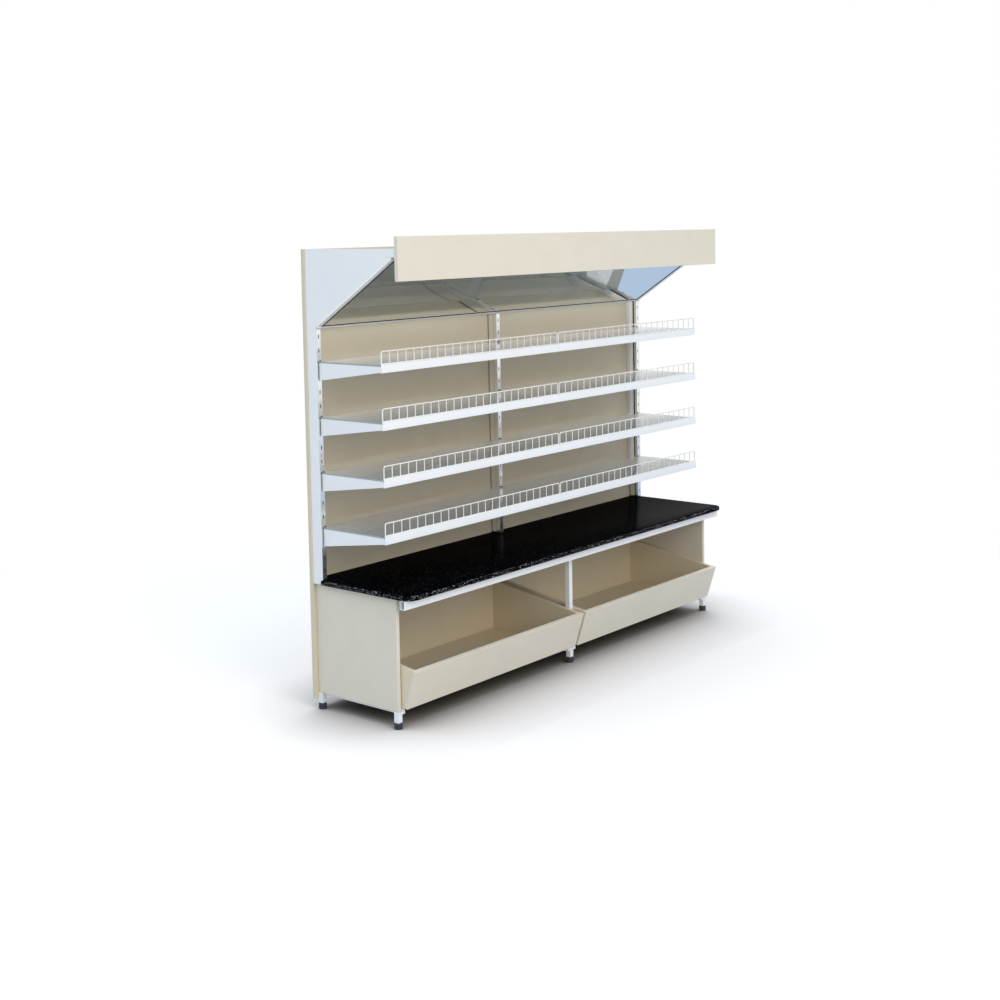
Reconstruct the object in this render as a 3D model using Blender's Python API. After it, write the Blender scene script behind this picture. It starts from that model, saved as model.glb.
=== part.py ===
"""Two-bay shop display shelf: slotted uprights, glass shelves on hook-in brackets, wire guards, counter,
pull-out bins and a mirror canopy. Metres, +Z up, +X along the run, the customer stands at -Y. The origin is
on the floor, below the middle of the whole unit."""

import math

import bmesh
import bpy
from mathutils import Matrix

for leftover in list(bpy.data.objects):
    bpy.data.objects.remove(leftover, do_unlink=True)

# Driving sizes: the run, the levels and the boards
BAY = 1.000  # between the centres of neighbouring uprights
LEVELS = 4
SLOT_SPACING = 0.050
SLOTS_PER_LEVEL = 4
SHELF_1_RISE = 0.1925  # from the counter's top to the lowest shelf's
BOARD_T = 0.016
BACK_BOARD_Z0 = 0.040
BACK_BOARD_OVERHANG = 0.007  # past the end uprights
GAP = 0.0003  # between pieces that touch
BOARD_EDGE = 0.0008  # softened edges of the laminated boards

# Uprights
UPRIGHT_W = 0.020
UPRIGHT_D = 0.047
UPRIGHT_WALL = 0.0018
UPRIGHT_HEADROOM = 0.015  # the uprights end this far below the top of the boards
GROOVE_START = 0.012
GROOVE_W = 0.006
GROOVE_DEPTH = 0.003
SLOT_W = 0.004
SLOT_H = 0.014
SLOTS_BELOW = 3  # below the slot that the lowest shelf hangs in
SLOTS_ABOVE = 2  # above the slot that the highest shelf hangs in

# Shelves, brackets and guards
SHELF_DEPTH = 0.310  # from the uprights to the shelf's front
PANE_T = 0.005
EDGING_WALL = 0.0012
EDGING_H = 0.029
EDGING_LIP = 0.007  # over the pane's front edge
EDGING_LEDGE = 0.010  # below it
EDGING_RETURN = 0.008
BEND_STEPS = 3
BLADE_T = 0.0025
BLADE_BACK_H = 0.070
BLADE_FRONT_H = 0.0265
HOOK_DROP = 0.012  # from the shelf's top to the middle of the upper slot
HOOK_H = 0.009
HOOK_T = 0.003
HOOK_LIP = 0.004
GUARD_WIRE = 0.004
GUARD_H = 0.048
GUARD_GAPS = 24
GUARD_INSET = 0.0025  # from the edging's ends and its front
GUARD_CORNER = 0.007

# Counter and base
COUNTER_TOP = 0.4825
COUNTER_T = 0.017
COUNTER_DEPTH = 0.4847
COUNTER_END = 0.012  # past the outer faces of the end uprights
COUNTER_CORNER = 0.045
COUNTER_CORNER_STEPS = 8
COUNTER_EDGE = 0.005
PANEL_RECESS = 0.0847  # from the counter's front to the fronts of the panels and the front legs
PANEL_INSET = 0.009  # from the uprights' outer faces to the panels'
PANEL_Z0 = 0.061
PANEL_EDGE = 0.004  # rounding of the panels' front edges
FRONT_RAIL_RECESS = 0.0287  # from the counter's front to the rail's
FRONT_RAIL_D = 0.023
FRONT_RAIL_H = 0.0315
FRONT_RAIL_WALL = 0.0015
FRONT_RAIL_END = 0.0035  # short of the counter's ends
TUBE = 0.020
TUBE_WALL = 0.002
RUNNER_TOP = 0.070
RUNNER_H = 0.020
MIDDLE_RUNNER_W = 0.050
END_RUNNER_W = 0.016
FOOT_R = 0.015
FOOT_H = 0.022
FOOT_CHAMFER = 0.003
FOOT_STEPS = 16
STEM_R = 0.005
STEM_LENGTH = 0.028
STEM_CLEARANCE = 0.0004

# Bins
BIN_SIDE_CLEARANCE = 0.002  # to the middle post and the side panels
BIN_BACK_CLEARANCE = 0.0013
BIN_FRONT_SEAM = 0.016  # between the two bins' fronts, which pass before the middle post
BIN_FRONT_REACH = 0.0231  # foot of the bins' fronts, before the panels' front
BIN_LEAN = math.radians(18.1)
BIN_FRONT_HEIGHT = 0.1475  # along the leaning board
BIN_WALL_FRONT_Z = 0.213
BIN_WALL_BACK_Z = 0.288

# Canopy
PLATE_T = 0.002
PLATE_FLANGE = 0.020
ARM_FLANGE = 0.020
MIRROR_T = 0.005
MIRROR_SEAM = 0.001
SLOPE_CLEARANCE = 0.1265  # from the top shelf to the foot of the canopy's slope, at the uprights
CANOPY_H = 0.2735  # from the slope's foot to the top of the back boards and the canopy plates
KNEE_DROP = 0.030  # from that top to the end of the slope, where the plates turn level
KNEE_DEPTH = 0.0174  # the level part, behind the fascia
FASCIA_RECESS = 0.0262  # from the counter's front to the fascia's front
FASCIA_H = 0.1535
FASCIA_RISE = 0.0415  # above the top of the boards
FASCIA_END = 0.005  # past the outer faces of the end uprights

# Derived places
DEPTH = COUNTER_DEPTH + GAP + BOARD_T
Y_FRONT = -DEPTH / 2
Y_BOARD = DEPTH / 2 - BOARD_T
Y_UPRIGHT_BACK = Y_BOARD - GAP
Y_UPRIGHT = Y_UPRIGHT_BACK - UPRIGHT_D
Y_SHELF = Y_UPRIGHT - SHELF_DEPTH
Y_PANEL = Y_FRONT + PANEL_RECESS
Y_FASCIA_BACK = Y_FRONT + FASCIA_RECESS + BOARD_T
X_END = BAY + UPRIGHT_W / 2
X_COUNTER = X_END + COUNTER_END
SHELF_END = BAY + BLADE_T / 2
X_PANEL = X_END - PANEL_INSET - BOARD_T
X_LEG = X_PANEL + BOARD_T / 2
X_PLATE = X_END + GAP + PLATE_T
Y_FRONT_LEG = Y_PANEL + TUBE / 2
Y_REAR_LEG = Y_UPRIGHT_BACK - TUBE / 2
Y_BIN = Y_PANEL - BIN_FRONT_REACH
BIN_Z0 = RUNNER_TOP + GAP
COUNTER_Z0 = COUNTER_TOP - COUNTER_T
SUPPORT_TOP = COUNTER_Z0 - GAP
LEG_Z0 = FOOT_H + GAP
LEVEL_SPACING = SLOT_SPACING * SLOTS_PER_LEVEL
UPRIGHT_Z0 = COUNTER_Z0
SIDES = {"left": -1, "right": 1}
COLUMNS = {"left": -1, "middle": 0, "right": 1}
LEG_ROWS = {"front": Y_FRONT_LEG, "rear": Y_REAR_LEG}
LEDGE_TOP = -EDGING_WALL - PANE_T - 2 * GAP  # the pane's seat, from the shelf's top
SHELF_TOPS = [COUNTER_TOP + SHELF_1_RISE + level * LEVEL_SPACING for level in range(LEVELS)]
SLOPE_START = (Y_UPRIGHT - GAP, SHELF_TOPS[-1] + SLOPE_CLEARANCE)
TOP = SLOPE_START[1] + CANOPY_H
KNEE_Z = TOP - KNEE_DROP
MIRROR_TILT = math.atan2(KNEE_Z - SLOPE_START[1], SLOPE_START[0] - Y_FASCIA_BACK - KNEE_DEPTH)
UPRIGHT_TOP = TOP - UPRIGHT_HEADROOM


def finish(name, colour, roughness, metallic=0.0):
    """A Principled material from an sRGB hex colour."""
    made = bpy.data.materials.new(name)
    made.use_nodes = True
    shader = made.node_tree.nodes["Principled BSDF"]
    channels = [int(colour[i : i + 2], 16) / 255 for i in (1, 3, 5)]
    linear = [c / 12.92 if c <= 0.04045 else ((c + 0.055) / 1.055) ** 2.4 for c in channels]
    shader.inputs["Base Color"].default_value = (*linear, 1.0)
    shader.inputs["Roughness"].default_value = roughness
    shader.inputs["Metallic"].default_value = metallic
    return made


LAMINATE = finish("beige laminate", "#d9d4c3", 0.45)
WHITE_METAL = finish("white painted steel", "#f4f6f8", 0.30)
PROFILE = finish("satin aluminium profile", "#e6e8ea", 0.28, 0.6)
STONE = finish("black speckled laminate", "#0b0c0e", 0.18)
MIRROR = finish("silvered mirror", "#dfe4e4", 0.03, 1.0)
GLASS = finish("clear glass", "#d6e4e0", 0.02)
PLASTIC = finish("black foot plastic", "#2d2d31", 0.50)


def add_object(name, mesh, material, parent=None):
    """Puts a mesh into the scene under its piece's name."""
    piece = bpy.data.objects.new(name, mesh)
    bpy.context.scene.collection.objects.link(piece)
    if not mesh.materials:
        mesh.materials.append(material)
    piece.parent = parent
    return piece


def add_helper(name, mesh):
    """A cutter or a joined-in shape that is no piece by itself."""
    helper = bpy.data.objects.new(name, mesh)
    bpy.context.scene.collection.objects.link(helper)
    helper.hide_render = True
    helper.display_type = "WIRE"
    return helper


def add_anchor(name, place):
    """An empty at the place where a moving piece is guided."""
    anchor = bpy.data.objects.new(name, None)
    anchor.location = place
    bpy.context.scene.collection.objects.link(anchor)
    return anchor


def mesh_from(name, form):
    bmesh.ops.recalc_face_normals(form, faces=form.faces)
    mesh = bpy.data.meshes.new(name)
    form.to_mesh(mesh)
    form.free()
    return mesh


def box_mesh(name, low, high):
    """A box between two corners."""
    form = bmesh.new()
    bmesh.ops.create_cube(form, size=1.0)
    for corner in form.verts:
        corner.co = [high[i] if corner.co[i] > 0 else low[i] for i in range(3)]
    return mesh_from(name, form)


def prism_mesh(name, outline, axis, start, end):
    """An outline extruded from start to end along one axis; its points are in the other two, in order."""
    form = bmesh.new()
    along = "XYZ".index(axis)
    rim = []
    for a, b in outline:
        corner = [a, b]
        corner.insert(along, start)
        rim.append(form.verts.new(corner))
    travel = [0.0, 0.0, 0.0]
    travel[along] = end - start
    cap = form.faces.new(rim)
    grown = bmesh.ops.extrude_face_region(form, geom=[cap], use_keep_orig=True)
    moved = [item for item in grown["geom"] if isinstance(item, bmesh.types.BMVert)]
    bmesh.ops.translate(form, verts=moved, vec=travel)
    return mesh_from(name, form)


def rounded(points, radius, steps):
    """The points of a path with an arc of this radius in place of each inner corner."""
    path = points[:1]
    for before, (y, z), after in zip(points, points[1:], points[2:]):
        to_before = math.atan2(before[1] - z, before[0] - y)
        to_after = math.atan2(after[1] - z, after[0] - y)
        turn = (to_after - to_before + math.pi) % (2 * math.pi) - math.pi
        reach = radius / math.tan(abs(turn) / 2)
        middle = to_before + turn / 2
        distance = radius / math.sin(abs(turn) / 2)
        centre = (y + distance * math.cos(middle), z + distance * math.sin(middle))
        start = (y + reach * math.cos(to_before), z + reach * math.sin(to_before))
        first = math.atan2(start[1] - centre[1], start[0] - centre[0])
        sweep = (math.pi - abs(turn)) * (-1 if turn > 0 else 1)
        for step in range(steps + 1):
            angle = first + sweep * step / steps
            path.append((centre[0] + radius * math.cos(angle), centre[1] + radius * math.sin(angle)))
    return path + points[-1:]


def soften(piece):
    """A small chamfer on the edges, as the edge banding of a laminated board has."""
    bevel = piece.modifiers.new("softened edges", "BEVEL")
    bevel.width = BOARD_EDGE
    bevel.segments = 1
    bevel.limit_method = "ANGLE"


def boolean(piece, other, operation):
    cut = piece.modifiers.new(f"{operation.lower()} {other.name}", "BOOLEAN")
    cut.operation = operation
    cut.object = other
    cut.solver = "EXACT"


def repeat(piece, count, step):
    """A row of copies, each one step on from the last."""
    row = piece.modifiers.new("row", "ARRAY")
    row.use_relative_offset = False
    row.use_constant_offset = True
    row.constant_offset_displace = step
    row.count = count


def board(name, low, high):
    """A plain laminated board between two corners."""
    soften(add_object(name, box_mesh(name, low, high), LAMINATE))


def upright_outline():
    """The upright's section: a front web for the slots, a groove down each side and an open back."""
    half = UPRIGHT_W / 2
    groove_end = GROOVE_START + GROOVE_W
    inner = half - UPRIGHT_WALL
    waist = inner - GROOVE_DEPTH
    right = [
        (half, 0.0),
        (half, GROOVE_START),
        (half - GROOVE_DEPTH, GROOVE_START),
        (half - GROOVE_DEPTH, groove_end),
        (half, groove_end),
        (half, UPRIGHT_D),
        (inner, UPRIGHT_D),
        (inner, groove_end + UPRIGHT_WALL),
        (waist, groove_end + UPRIGHT_WALL),
        (waist, GROOVE_START - UPRIGHT_WALL),
        (inner, GROOVE_START - UPRIGHT_WALL),
        (inner, UPRIGHT_WALL),
    ]
    return right + [(-x, y) for x, y in reversed(right)]


def add_uprights():
    section = prism_mesh("upright", upright_outline(), "Z", UPRIGHT_Z0, UPRIGHT_TOP)
    slot_low = (-SLOT_W / 2, -UPRIGHT_WALL, -SLOT_H / 2)
    slot_high = (SLOT_W / 2, 2 * UPRIGHT_WALL, SLOT_H / 2)
    slot = box_mesh("slot", slot_low, slot_high)
    for column, place in COLUMNS.items():
        upright = add_object(f"upright_{column}", section, PROFILE)
        upright.location = (place * BAY, Y_UPRIGHT, 0.0)
        cutter = add_helper(f"slots_{column}", slot)
        cutter.location = (place * BAY, Y_UPRIGHT, SHELF_TOPS[0] - HOOK_DROP - SLOTS_BELOW * SLOT_SPACING)
        count = SLOTS_BELOW + 1 + (LEVELS - 1) * SLOTS_PER_LEVEL + SLOTS_ABOVE
        repeat(cutter, count, (0.0, 0.0, SLOT_SPACING))
        boolean(upright, cutter, "DIFFERENCE")


def add_back_boards():
    for side, sign in SIDES.items():
        x0, x1 = sorted((sign * GAP / 2, sign * (X_END + BACK_BOARD_OVERHANG)))
        board(f"back_board_{side}", (x0, Y_BOARD, BACK_BOARD_Z0), (x1, Y_BOARD + BOARD_T, TOP))


def edging_outline():
    """The profile along a shelf's front: a skirt, a channel that holds the pane, and a return at the foot."""
    wall = EDGING_WALL
    foot = wall - EDGING_H
    section = [
        (0.0, -EDGING_H),
        (0.0, 0.0),
        (EDGING_LIP, 0.0),
        (EDGING_LIP, -wall),
        (wall, -wall),
        (wall, LEDGE_TOP),
        (EDGING_LEDGE, LEDGE_TOP),
        (EDGING_LEDGE, LEDGE_TOP - wall),
        (wall, LEDGE_TOP - wall),
        (wall, foot),
        (EDGING_RETURN, foot),
        (EDGING_RETURN, -EDGING_H),
    ]
    return [(Y_SHELF + y, z) for y, z in section]


def add_panes():
    """A pane of glass in each bay, on the brackets' upper edges and in the channel of the front."""
    front = Y_SHELF + EDGING_WALL + GAP
    z0 = LEDGE_TOP + GAP
    for side, sign in SIDES.items():
        x0, x1 = sorted((sign * GAP / 2, sign * SHELF_END))
        mesh = box_mesh("shelf pane", (x0, front, z0), (x1, Y_UPRIGHT - GAP, z0 + PANE_T))
        for level, top in enumerate(SHELF_TOPS, 1):
            add_object(f"shelf_pane_{level}_{side}", mesh, GLASS).location.z = top


def bracket_outline():
    """The tapered blade under a shelf's end, with two hooks that drop behind the upright's slots."""
    step = Y_SHELF + EDGING_LEDGE + GAP
    front = Y_SHELF + EDGING_WALL + GAP
    below_ledge = LEDGE_TOP - EDGING_WALL - GAP
    back = Y_UPRIGHT - GAP
    behind = Y_UPRIGHT + UPRIGHT_WALL + GAP
    outline = [
        (step, LEDGE_TOP),
        (step, below_ledge),
        (front, below_ledge),
        (front, -BLADE_FRONT_H),
        (back, -BLADE_BACK_H),
    ]
    for slot_middle in (-HOOK_DROP - SLOT_SPACING, -HOOK_DROP):
        seat = slot_middle - SLOT_H / 2 + GAP
        outline += [
            (back, seat),
            (behind, seat),
            (behind, seat - HOOK_LIP),
            (behind + HOOK_T, seat - HOOK_LIP),
            (behind + HOOK_T, seat + HOOK_H),
            (back, seat + HOOK_H),
        ]
    return outline + [(back, LEDGE_TOP)]


def add_brackets():
    blade = prism_mesh("bracket blade", bracket_outline(), "X", -BLADE_T / 2, BLADE_T / 2)
    for level, top in enumerate(SHELF_TOPS, 1):
        for column, place in COLUMNS.items():
            bracket = add_object(f"bracket_{level}_{column}", blade, WHITE_METAL)
            bracket.location = (place * BAY, 0.0, top)


def add_shelf_fronts():
    """Edging along each pane, with a ladder of wire welded on it; the ladder's upper corners are rounded."""
    y0 = Y_SHELF + GUARD_INSET
    weld = -EDGING_WALL / 2
    for side, sign in SIDES.items():
        edging = prism_mesh("edging", edging_outline(), "X", *sorted((sign * GAP / 2, sign * SHELF_END)))
        left, right = sorted((sign * (GAP / 2 + GUARD_INSET), sign * (SHELF_END - GUARD_INSET)))
        spacing = (right - left - GUARD_WIRE) / GUARD_GAPS
        corners = [(right, weld), (right, GUARD_H), (left, GUARD_H), (left, weld)]
        ladder = prism_mesh("guard", rounded(corners, GUARD_CORNER, BEND_STEPS), "Y", y0, y0 + GUARD_WIRE)
        low = (left + GUARD_WIRE, y0 - GUARD_WIRE, GUARD_WIRE)
        high = (left + spacing, y0 + 2 * GUARD_WIRE, GUARD_H - GUARD_WIRE)
        window = box_mesh("guard window", low, high)
        for level, top in enumerate(SHELF_TOPS, 1):
            front = add_object(f"shelf_front_{level}_{side}", edging, WHITE_METAL)
            guard = add_helper(f"guard_{level}_{side}", ladder)
            windows = add_helper(f"guard_windows_{level}_{side}", window)
            repeat(windows, GUARD_GAPS, (spacing, 0.0, 0.0))
            for piece in (front, guard, windows):
                piece.location.z = top
            boolean(front, guard, "UNION")
            boolean(front, windows, "DIFFERENCE")


def counter_outline():
    """The counter from above: rounded front corners, and notches at the back for the uprights."""
    half = X_COUNTER
    back = Y_BOARD - GAP
    notch = Y_UPRIGHT - GAP
    outer = BAY - UPRIGHT_W / 2 - GAP
    middle = UPRIGHT_W / 2 + GAP
    front = [(half, notch), (half, Y_FRONT), (-half, Y_FRONT), (-half, notch)]
    rear = [(outer, notch), (outer, back), (middle, back), (middle, notch)]
    return rounded(front, COUNTER_CORNER, COUNTER_CORNER_STEPS) + [(-x, y) for x, y in rear] + rear[::-1]


def add_counter():
    mesh = prism_mesh("counter", counter_outline(), "Z", COUNTER_Z0, COUNTER_TOP)
    form = bmesh.new()
    form.from_mesh(mesh)
    near = Y_UPRIGHT - 2 * GAP
    shown = {v for v in form.verts if v.co.y < near or abs(v.co.x) > X_COUNTER - GAP}
    rims = [
        edge
        for edge in form.edges
        if shown.issuperset(edge.verts) and abs(edge.verts[0].co.z - edge.verts[1].co.z) < GAP
    ]
    bmesh.ops.bevel(form, geom=rims, offset=COUNTER_EDGE, segments=2, affect="EDGES", profile=0.5)
    form.to_mesh(mesh)
    form.free()
    mesh.shade_smooth()
    mesh.set_sharp_from_angle(angle=math.radians(40))
    add_object("counter", mesh, STONE)


def add_front_rail():
    half = X_COUNTER - FRONT_RAIL_END
    front = Y_FRONT + FRONT_RAIL_RECESS
    low = (-half, front, SUPPORT_TOP - FRONT_RAIL_H)
    high = (half, front + FRONT_RAIL_D, SUPPORT_TOP)
    rail = add_object("front_rail", box_mesh("front rail", low, high), WHITE_METAL)
    wall = FRONT_RAIL_WALL
    inner_low = (2 * low[0], low[1] + wall, low[2] + wall)
    inner_high = (2 * high[0], high[1] - wall, high[2] - wall)
    boolean(rail, add_helper("front_rail_hollow", box_mesh("hollow", inner_low, inner_high)), "DIFFERENCE")


def add_side_panels():
    """End boards that stand on the legs and carry the counter and the end uprights; rounded at the front."""
    back = Y_BOARD - GAP
    for side, sign in SIDES.items():
        inner = sign * X_PANEL
        outer = sign * (X_PANEL + BOARD_T)
        corners = [(outer, back), (outer, Y_PANEL), (inner, Y_PANEL), (inner, back)]
        outline = rounded(corners, PANEL_EDGE, BEND_STEPS)
        panel = prism_mesh("side panel", outline, "Z", PANEL_Z0, SUPPORT_TOP)
        soften(add_object(f"side_panel_{side}", panel, LAMINATE))


def leg_place(column):
    """Distance of a leg from the middle: the end legs stand below the side panels."""
    return COLUMNS[column] * X_LEG


def add_base_frame():
    """One weldment: a rear beam, three runners from back to front, four end legs and two middle posts."""
    half = TUBE / 2
    rear = (Y_REAR_LEG - half, Y_REAR_LEG + half)
    runner_z0 = RUNNER_TOP - RUNNER_H
    beam_end = X_PANEL - GAP
    beam = box_mesh("base frame", (-beam_end, rear[0], runner_z0), (beam_end, rear[1], RUNNER_TOP))
    frame = add_object("base_frame", beam, WHITE_METAL)
    end_runner = beam_end - END_RUNNER_W / 2
    for column, place in COLUMNS.items():
        x = place * end_runner
        width = END_RUNNER_W if place else MIDDLE_RUNNER_W
        low = (x - width / 2, Y_FRONT_LEG - half, runner_z0)
        runner = box_mesh("runner", low, (x + width / 2, rear[1], RUNNER_TOP))
        boolean(frame, add_helper(f"runner_{column}", runner), "UNION")
    inner = half - TUBE_WALL
    for column in COLUMNS:
        x = leg_place(column)
        top = SUPPORT_TOP if column == "middle" else PANEL_Z0 - GAP
        for row, y in LEG_ROWS.items():
            leg = box_mesh("leg", (x - half, y - half, LEG_Z0), (x + half, y + half, top))
            boolean(frame, add_helper(f"leg_{row}_{column}", leg), "UNION")
    for row, y in LEG_ROWS.items():
        low = (-inner, y - inner, RUNNER_TOP + TUBE_WALL)
        hollow = box_mesh("post hollow", low, (inner, y + inner, SUPPORT_TOP + TUBE))
        boolean(frame, add_helper(f"post_hollow_{row}", hollow), "DIFFERENCE")
    radius = STEM_R + STEM_CLEARANCE
    depth = 2 * (STEM_LENGTH + STEM_CLEARANCE)
    for column in COLUMNS:
        for row, y in LEG_ROWS.items():
            bore = bmesh.new()
            bmesh.ops.create_cone(
                bore, cap_ends=True, segments=FOOT_STEPS, radius1=radius, radius2=radius, depth=depth
            )
            cutter = add_helper(f"stem_bore_{row}_{column}", mesh_from("stem bore", bore))
            cutter.location = (leg_place(column), y, FOOT_H)
            boolean(frame, cutter, "DIFFERENCE")


def add_feet():
    """Turned feet: a chamfered disc with a threaded stem that stands in the leg."""
    shoulder = FOOT_R - FOOT_CHAMFER
    profile = [
        (0.0, FOOT_H + STEM_LENGTH),
        (STEM_R, FOOT_H + STEM_LENGTH),
        (STEM_R, FOOT_H),
        (shoulder, FOOT_H),
        (FOOT_R, FOOT_H - FOOT_CHAMFER),
        (FOOT_R, FOOT_CHAMFER),
        (shoulder, 0.0),
        (0.0, 0.0),
    ]
    mesh = bpy.data.meshes.new("foot profile")
    steps = range(len(profile) - 1)
    mesh.from_pydata([(r, 0.0, z) for r, z in profile], [(i, i + 1) for i in steps], [])
    for column in COLUMNS:
        for row, y in LEG_ROWS.items():
            foot = add_object(f"foot_{row}_{column}", mesh, PLASTIC)
            foot.location = (leg_place(column), y, 0.0)
            turn = foot.modifiers.new("turned", "SCREW")
            turn.steps = FOOT_STEPS
            turn.render_steps = FOOT_STEPS
            turn.use_merge_vertices = True
            turn.merge_threshold = 0.00005


def bin_inner_face(z):
    """Where the inner face of a bin's leaning front is at this height."""
    return Y_BIN + BOARD_T / math.cos(BIN_LEAN) - (z - BIN_Z0) * math.tan(BIN_LEAN)


def add_bin(side, sign):
    """An open box of five boards with a front that leans out and walls that rise to the back."""
    x_outer = X_PANEL - BIN_SIDE_CLEARANCE
    x0, x1 = sorted((sign * (TUBE / 2 + BIN_SIDE_CLEARANCE), sign * x_outer))
    back = Y_BOARD - BIN_BACK_CLEARANCE
    floor_top = BIN_Z0 + BOARD_T
    wall_z0 = floor_top + GAP
    seam = GAP / math.cos(BIN_LEAN)
    anchor = add_anchor(f"bin_{side}_slide", ((x0 + x1) / 2, Y_BIN, BIN_Z0))

    def prism_board(part, outline, start, end):
        mesh = prism_mesh(part, outline, "X", start, end)
        mesh.transform(Matrix.Translation(-anchor.location))
        soften(add_object(f"bin_{side}_{part}", mesh, LAMINATE, anchor))

    up = (-math.sin(BIN_LEAN) * BIN_FRONT_HEIGHT, math.cos(BIN_LEAN) * BIN_FRONT_HEIGHT)
    through = (math.cos(BIN_LEAN) * BOARD_T, math.sin(BIN_LEAN) * BOARD_T)
    front = [
        (Y_BIN, BIN_Z0),
        (Y_BIN + through[0], BIN_Z0 + through[1]),
        (Y_BIN + through[0] + up[0], BIN_Z0 + through[1] + up[1]),
        (Y_BIN + up[0], BIN_Z0 + up[1]),
    ]
    prism_board("front", front, *sorted((sign * BIN_FRONT_SEAM / 2, sign * x_outer)))
    floor = [
        (bin_inner_face(BIN_Z0) + seam, BIN_Z0),
        (back, BIN_Z0),
        (back, floor_top),
        (bin_inner_face(floor_top) + seam, floor_top),
    ]
    prism_board("floor", floor, x0, x1)
    wall = [
        (bin_inner_face(wall_z0) + seam, wall_z0),
        (back, wall_z0),
        (back, BIN_WALL_BACK_Z),
        (bin_inner_face(BIN_WALL_FRONT_Z) + seam, BIN_WALL_FRONT_Z),
    ]
    prism_board("wall_left", wall, x0, x0 + BOARD_T)
    prism_board("wall_right", wall, x1 - BOARD_T, x1)
    rise = (BIN_WALL_BACK_Z - BIN_WALL_FRONT_Z) / (back - bin_inner_face(BIN_WALL_FRONT_Z) - seam)
    rear = [
        (back - BOARD_T, wall_z0),
        (back, wall_z0),
        (back, BIN_WALL_BACK_Z),
        (back - BOARD_T, BIN_WALL_BACK_Z - rise * BOARD_T),
    ]
    prism_board("back", rear, x0 + BOARD_T + GAP, x1 - BOARD_T - GAP)


def on_slope(above, y):
    """Height, at this y, of the line that lies this far above the canopy's slope."""
    return SLOPE_START[1] + (SLOPE_START[0] - y) * math.tan(MIRROR_TILT) + above / math.cos(MIRROR_TILT)


def at_height(above, z):
    """Where that line reaches this height."""
    return SLOPE_START[0] + (on_slope(above, SLOPE_START[0]) - z) / math.tan(MIRROR_TILT)


def add_mirrors():
    """Square-cut sheets of glass just below the canopy's slope, from the uprights to the knee."""
    rear = SLOPE_START[0]
    through = (math.sin(MIRROR_TILT) * MIRROR_T, math.cos(MIRROR_TILT) * MIRROR_T)
    high = (rear, on_slope(-GAP, rear))
    low = (high[0] - through[0], high[1] - through[1])
    run = low[0] - at_height(0.0, KNEE_Z)
    along = (-run, run * math.tan(MIRROR_TILT))
    outline = [low, high, (high[0] + along[0], high[1] + along[1]), (low[0] + along[0], low[1] + along[1])]
    for side, sign in SIDES.items():
        ends = sorted((sign * MIRROR_SEAM / 2, sign * X_PLATE))
        add_object(f"mirror_{side}", prism_mesh("mirror", outline, "X", *ends), MIRROR)


def canopy_outline(inset, rear, foot, top):
    """The canopy's side view inside its sheet edges: up the rear, along the top, down the front to the
    knee, and back to the slope. The inset moves the front, the knee and the slope inwards."""
    front = Y_FASCIA_BACK + GAP + inset
    knee = KNEE_Z + inset
    return [(rear, foot), (rear, top), (front, top), (front, knee), (at_height(inset, knee), knee)]


def add_canopy_plates():
    """Folded end plates: a sheet beside the upright, with a flange behind the fascia and over the mirror."""
    outside = canopy_outline(0.0, Y_UPRIGHT_BACK, COUNTER_Z0, TOP)
    outside += [(Y_UPRIGHT, on_slope(0.0, Y_UPRIGHT)), (Y_UPRIGHT, COUNTER_Z0)]
    beyond = PLATE_FLANGE
    inside = canopy_outline(PLATE_T, Y_UPRIGHT_BACK + beyond, COUNTER_Z0 - beyond, TOP + beyond)
    front = Y_UPRIGHT - GAP
    inside += [(front, on_slope(PLATE_T, front)), (front, COUNTER_Z0 - beyond)]
    for side, sign in SIDES.items():
        outer_ends = sorted((sign * X_PLATE, sign * (X_PLATE - PLATE_FLANGE)))
        inner_ends = sorted((sign * (X_PLATE - PLATE_T), sign * (X_PLATE - 2 * PLATE_FLANGE)))
        plate = add_object(
            f"canopy_plate_{side}", prism_mesh("canopy plate", outside, "X", *outer_ends), WHITE_METAL
        )
        cutter = add_helper(f"canopy_plate_hollow_{side}", prism_mesh("hollow", inside, "X", *inner_ends))
        boolean(plate, cutter, "DIFFERENCE")


def add_canopy_arm():
    """The middle arm: a web with flanges at the upright, over the mirrors and at the fascia."""
    rear = Y_UPRIGHT - GAP
    outside = canopy_outline(0.0, rear, on_slope(0.0, rear), UPRIGHT_TOP)
    solid = prism_mesh("canopy arm", outside, "X", -ARM_FLANGE, ARM_FLANGE)
    arm = add_object("canopy_arm", solid, WHITE_METAL)
    rear -= PLATE_T
    inside = canopy_outline(PLATE_T, rear, on_slope(PLATE_T, rear), UPRIGHT_TOP + ARM_FLANGE)
    for side, sign in SIDES.items():
        ends = sorted((sign * PLATE_T / 2, sign * 2 * ARM_FLANGE))
        hollow = add_helper(f"canopy_arm_hollow_{side}", prism_mesh("hollow", inside, "X", *ends))
        boolean(arm, hollow, "DIFFERENCE")


def add_fascia():
    half = X_END + FASCIA_END
    front = Y_FASCIA_BACK - BOARD_T
    top = TOP + FASCIA_RISE
    board("fascia", (-half, front, top - FASCIA_H), (half, Y_FASCIA_BACK, top))


add_uprights()
add_back_boards()
add_brackets()
add_panes()
add_shelf_fronts()
add_counter()
add_front_rail()
add_side_panels()
add_base_frame()
add_feet()
for bin_side, bin_sign in SIDES.items():
    add_bin(bin_side, bin_sign)
add_canopy_plates()
add_canopy_arm()
add_mirrors()
add_fascia()
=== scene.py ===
# %% [markdown]
# # A shop display shelf
# Two bays of slotted uprights carry glass shelves with wire guards. Below them are a black counter and two
# pull-out bins, and above them a canopy with slanting mirrors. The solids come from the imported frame, and
# every finish and fine piece below is laid on them in the same coordinates: metres, +Z up, the customer at
# -Y.

import math

import bpy
import numpy as np
from mathutils import Matrix, Vector


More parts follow.
